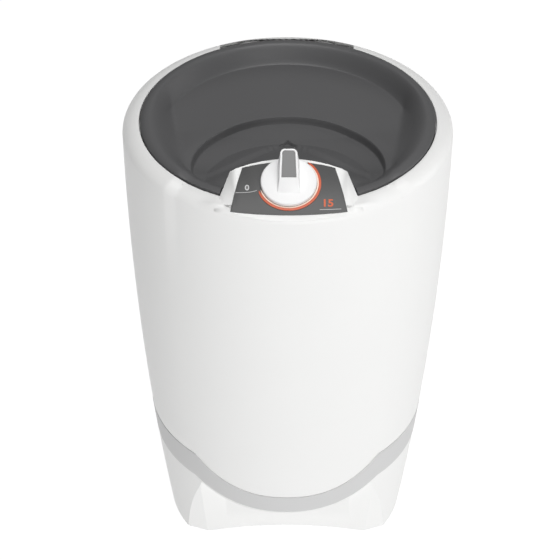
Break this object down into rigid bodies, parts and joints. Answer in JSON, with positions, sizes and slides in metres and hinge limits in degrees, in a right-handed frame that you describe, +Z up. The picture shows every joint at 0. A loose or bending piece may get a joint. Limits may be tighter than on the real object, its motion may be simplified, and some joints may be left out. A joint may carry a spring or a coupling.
{
  "type": "laundry spin dryer",
  "caption": "Free-standing top-loading spin dryer: tapered round cabinet, dished hinged lid, tilted timer panel with a grip knob, motor-driven basket inside.",
  "frame": {"origin": "centre of the bounding box on the floor, on the basket's spin axis", "axes": "+Z up, the control panel faces -Y, +X is to the right of a person facing the panel"},
  "size_m": [0.4538, 0.4511, 0.731],
  "materials": {
    "white_shell": "smooth moulded white plastic with a soft gloss",
    "grey_band": "light grey moulded plastic, satin",
    "lid_grey": "dark grey moulded plastic, satin",
    "label_grey": "dark grey printed film, satin",
    "dial_orange": "orange plastic, semi-gloss",
    "knob_white": "white plastic, semi-gloss",
    "insert_grey": "mid grey plastic, satin",
    "timer_plastic": "unpainted cream plastic",
    "dark_plastic": "black moulded plastic, satin",
    "tub_plastic": "off-white polypropylene, satin",
    "basket_steel": "rolled stainless sheet, brushed",
    "bright_steel": "turned and ground steel",
    "zinc_screws": "zinc plated steel",
    "lamination_steel": "stacked steel sheet, dull",
    "black_steel": "black painted pressed steel",
    "cast_aluminium": "die-cast aluminium, matte",
    "copper_winding": "varnished copper wire",
    "brake_lining": "moulded friction lining",
    "hose_rubber": "grey rubber, matte",
    "black_rubber": "black rubber, matte"
  },
  "bodies": {
    "housing": {"cabinet": "white_shell", "deck": "white_shell", "trim_band": "grey_band", "base": "white_shell", "base_collar": "white_shell", "base_floor": "white_shell", "rubber_feet": "black_rubber", "base_screws": "zinc_screws", "control_label": "label_grey", "dial_ring": "dial_orange", "timer_body": "timer_plastic", "timer_nut": "zinc_screws", "lid_hinge_pins": "bright_steel", "lid_bumpers": "black_rubber", "lid_switch_body": "dark_plastic", "outer_tub": "tub_plastic", "tub_screws": "zinc_screws", "shaft_seal": "black_rubber", "upper_bearing": "bright_steel", "lower_bearing": "bright_steel", "motor_housing": "cast_aluminium", "motor_stator": "lamination_steel", "stator_winding": "copper_winding", "motor_bracket": "black_steel", "motor_bolts": "zinc_screws", "suspension_springs": "bright_steel", "spring_cups": "black_rubber", "brake_bracket": "black_steel", "brake_pivot_pin": "bright_steel", "brake_cable": "black_rubber", "capacitor": "cast_aluminium", "capacitor_clamp": "zinc_screws", "terminal_block": "timer_plastic", "wire_harness": "black_rubber", "drain_hose": "hose_rubber", "drain_spout": "grey_band", "cord_gland": "black_rubber"},
    "basket_group": {"basket": "basket_steel", "balance_ring": "tub_plastic", "basket_hub": "dark_plastic", "hub_nut": "bright_steel", "drive_shaft": "bright_steel", "motor_rotor": "lamination_steel", "brake_drum": "cast_aluminium"},
    "lid_group": {"lid": "lid_grey", "lid_hinge_arms": "lid_grey"},
    "knob_group": {"knob": "knob_white", "knob_insert": "insert_grey", "timer_shaft": "bright_steel"},
    "switch_plunger": {"lid_switch_plunger": "timer_plastic"},
    "brake_arm": {"brake_lever": "zinc_screws", "brake_pad": "brake_lining"}
  },
  "joints": [
    {"name": "lid_hinge", "type": "hinge", "parent": "housing", "child": "lid_group", "pos_m": [0, 0.188, 0.672], "axis": [-1, 0, 0], "range_deg": [0, 95]},
    {"name": "knob_turn", "type": "hinge", "parent": "housing", "child": "knob_group", "pos_m": [0, -0.16857, 0.68836], "axis": [0, -0.3746, 0.9272], "range_deg": [-255, 0]},
    {"name": "basket_spin", "type": "hinge", "parent": "housing", "child": "basket_group", "pos_m": [0, 0, 0.3], "axis": [0, 0, 1], "continuous": true},
    {"name": "plunger_slide", "type": "slide", "parent": "housing", "child": "switch_plunger", "axis": [0, 0, 1], "range_m": [0, 0.0025]},
    {"name": "brake_pivot", "type": "hinge", "parent": "housing", "child": "brake_arm", "pos_m": [-0.03, -0.064, 0.18], "axis": [0, 0, 1], "range_deg": [0, 1.5]}
  ],
  "couplings": [
    {"joint": "plunger_slide", "follows": "lid_hinge", "m_per_rad": 0.0015},
    {"joint": "brake_pivot", "follows": "lid_hinge", "ratio": 0.0157}
  ]
}
